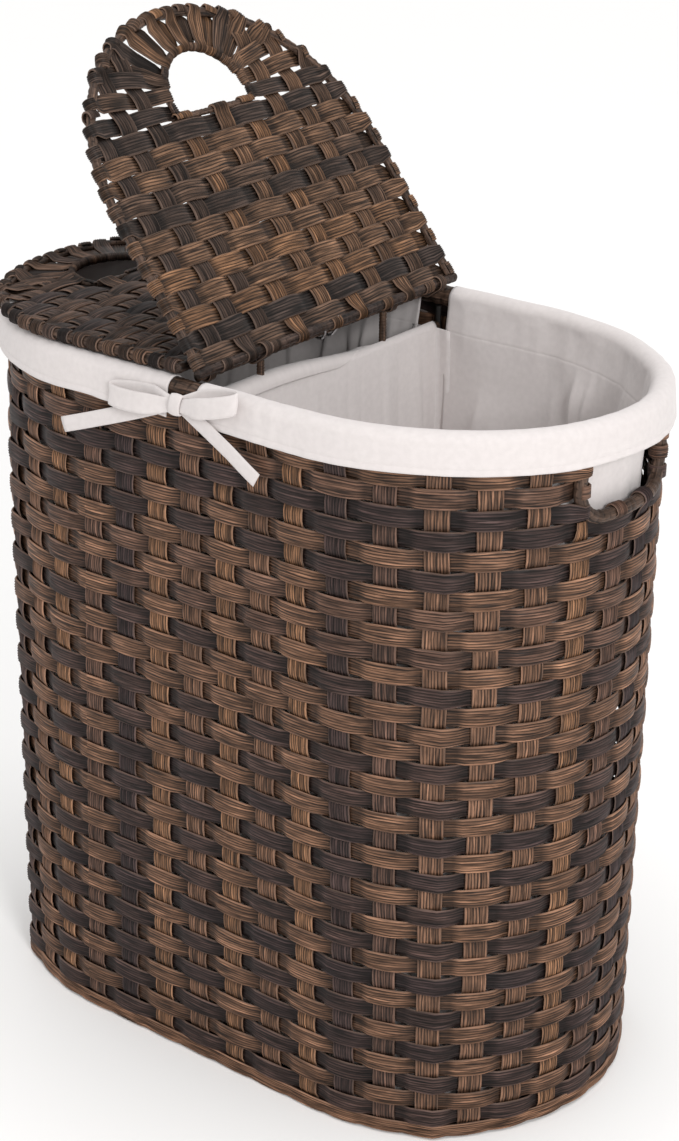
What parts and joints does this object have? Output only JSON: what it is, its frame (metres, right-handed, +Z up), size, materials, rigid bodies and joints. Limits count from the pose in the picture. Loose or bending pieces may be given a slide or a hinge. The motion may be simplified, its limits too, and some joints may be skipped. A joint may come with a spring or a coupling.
{
  "type": "woven laundry basket",
  "caption": "Oval two-compartment woven laundry basket with hinged half lids on a shared rail, hand holes, and tied cotton liners folded over the rim.",
  "frame": {"origin": "centre of the base, on the surface it stands on", "axes": "+X along the oval's long axis towards the compartment whose lid stands open, -Y towards the front, +Z up"},
  "size_m": [0.5976, 0.3552, 0.8304],
  "materials": {
    "woven_resin_cane": "striated bundled strands, brown and near-black rows",
    "woven_lid_cane": "striated bundled strands, grey-brown",
    "wrapped_cane": "strand wound tightly round a wire",
    "cotton_cloth": "plain off-white cotton, soft creases",
    "frame_wire": "dark lacquered steel wire",
    "bright_steel_wire": "bright bent wire"
  },
  "bodies": {
    "basket": {"base_ring": "wrapped_cane", "base_panel": "woven_resin_cane", "rim_rod": "wrapped_cane", "frame_post_front_left": "frame_wire", "frame_post_front_centre": "frame_wire", "frame_post_front_right": "frame_wire", "frame_post_rear_right": "frame_wire", "frame_post_rear_centre": "frame_wire", "frame_post_rear_left": "frame_wire", "centre_rail": "wrapped_cane", "divider_rail": "wrapped_cane", "divider_post_front": "wrapped_cane", "divider_post_rear": "wrapped_cane", "wall_front": "woven_resin_cane", "wall_rear": "woven_resin_cane", "wall_right_end": "woven_resin_cane", "wall_left_end": "woven_resin_cane", "handle_bar_right": "wrapped_cane", "handle_bar_left": "wrapped_cane", "liner_right_side": "cotton_cloth", "liner_right_bottom": "cotton_cloth", "liner_right_divider": "cotton_cloth", "liner_right_cuff": "cotton_cloth", "liner_left_side": "cotton_cloth", "liner_left_bottom": "cotton_cloth", "liner_left_divider": "cotton_cloth", "liner_left_cuff": "cotton_cloth", "tie_bow_front": "cotton_cloth", "tie_bow_rear": "cotton_cloth", "hinge_ring_right": "bright_steel_wire", "lid_tie_right_rear": "wrapped_cane", "lid_tie_right_front": "wrapped_cane", "hinge_ring_left": "bright_steel_wire", "lid_tie_left_front": "wrapped_cane", "lid_tie_left_rear": "wrapped_cane"},
    "right_lid": {"right_lid_hinge_rod": "wrapped_cane", "right_lid_border_rod": "wrapped_cane", "right_lid_panel": "woven_lid_cane", "right_lid_hand_hole_ring": "wrapped_cane"},
    "left_lid": {"left_lid_hinge_rod": "wrapped_cane", "left_lid_border_rod": "wrapped_cane", "left_lid_panel": "woven_lid_cane", "left_lid_hand_hole_ring": "wrapped_cane"}
  },
  "joints": [
    {"name": "right_lid_hinge", "type": "hinge", "parent": "basket", "child": "right_lid", "pos_m": [0.01, 0, 0.608], "axis": [0, 1, 0], "range_deg": [0, 128]},
    {"name": "left_lid_hinge", "type": "hinge", "parent": "basket", "child": "left_lid", "pos_m": [-0.01, 0, 0.608], "axis": [0, 1, 0], "range_deg": [0, 50]}
  ]
}
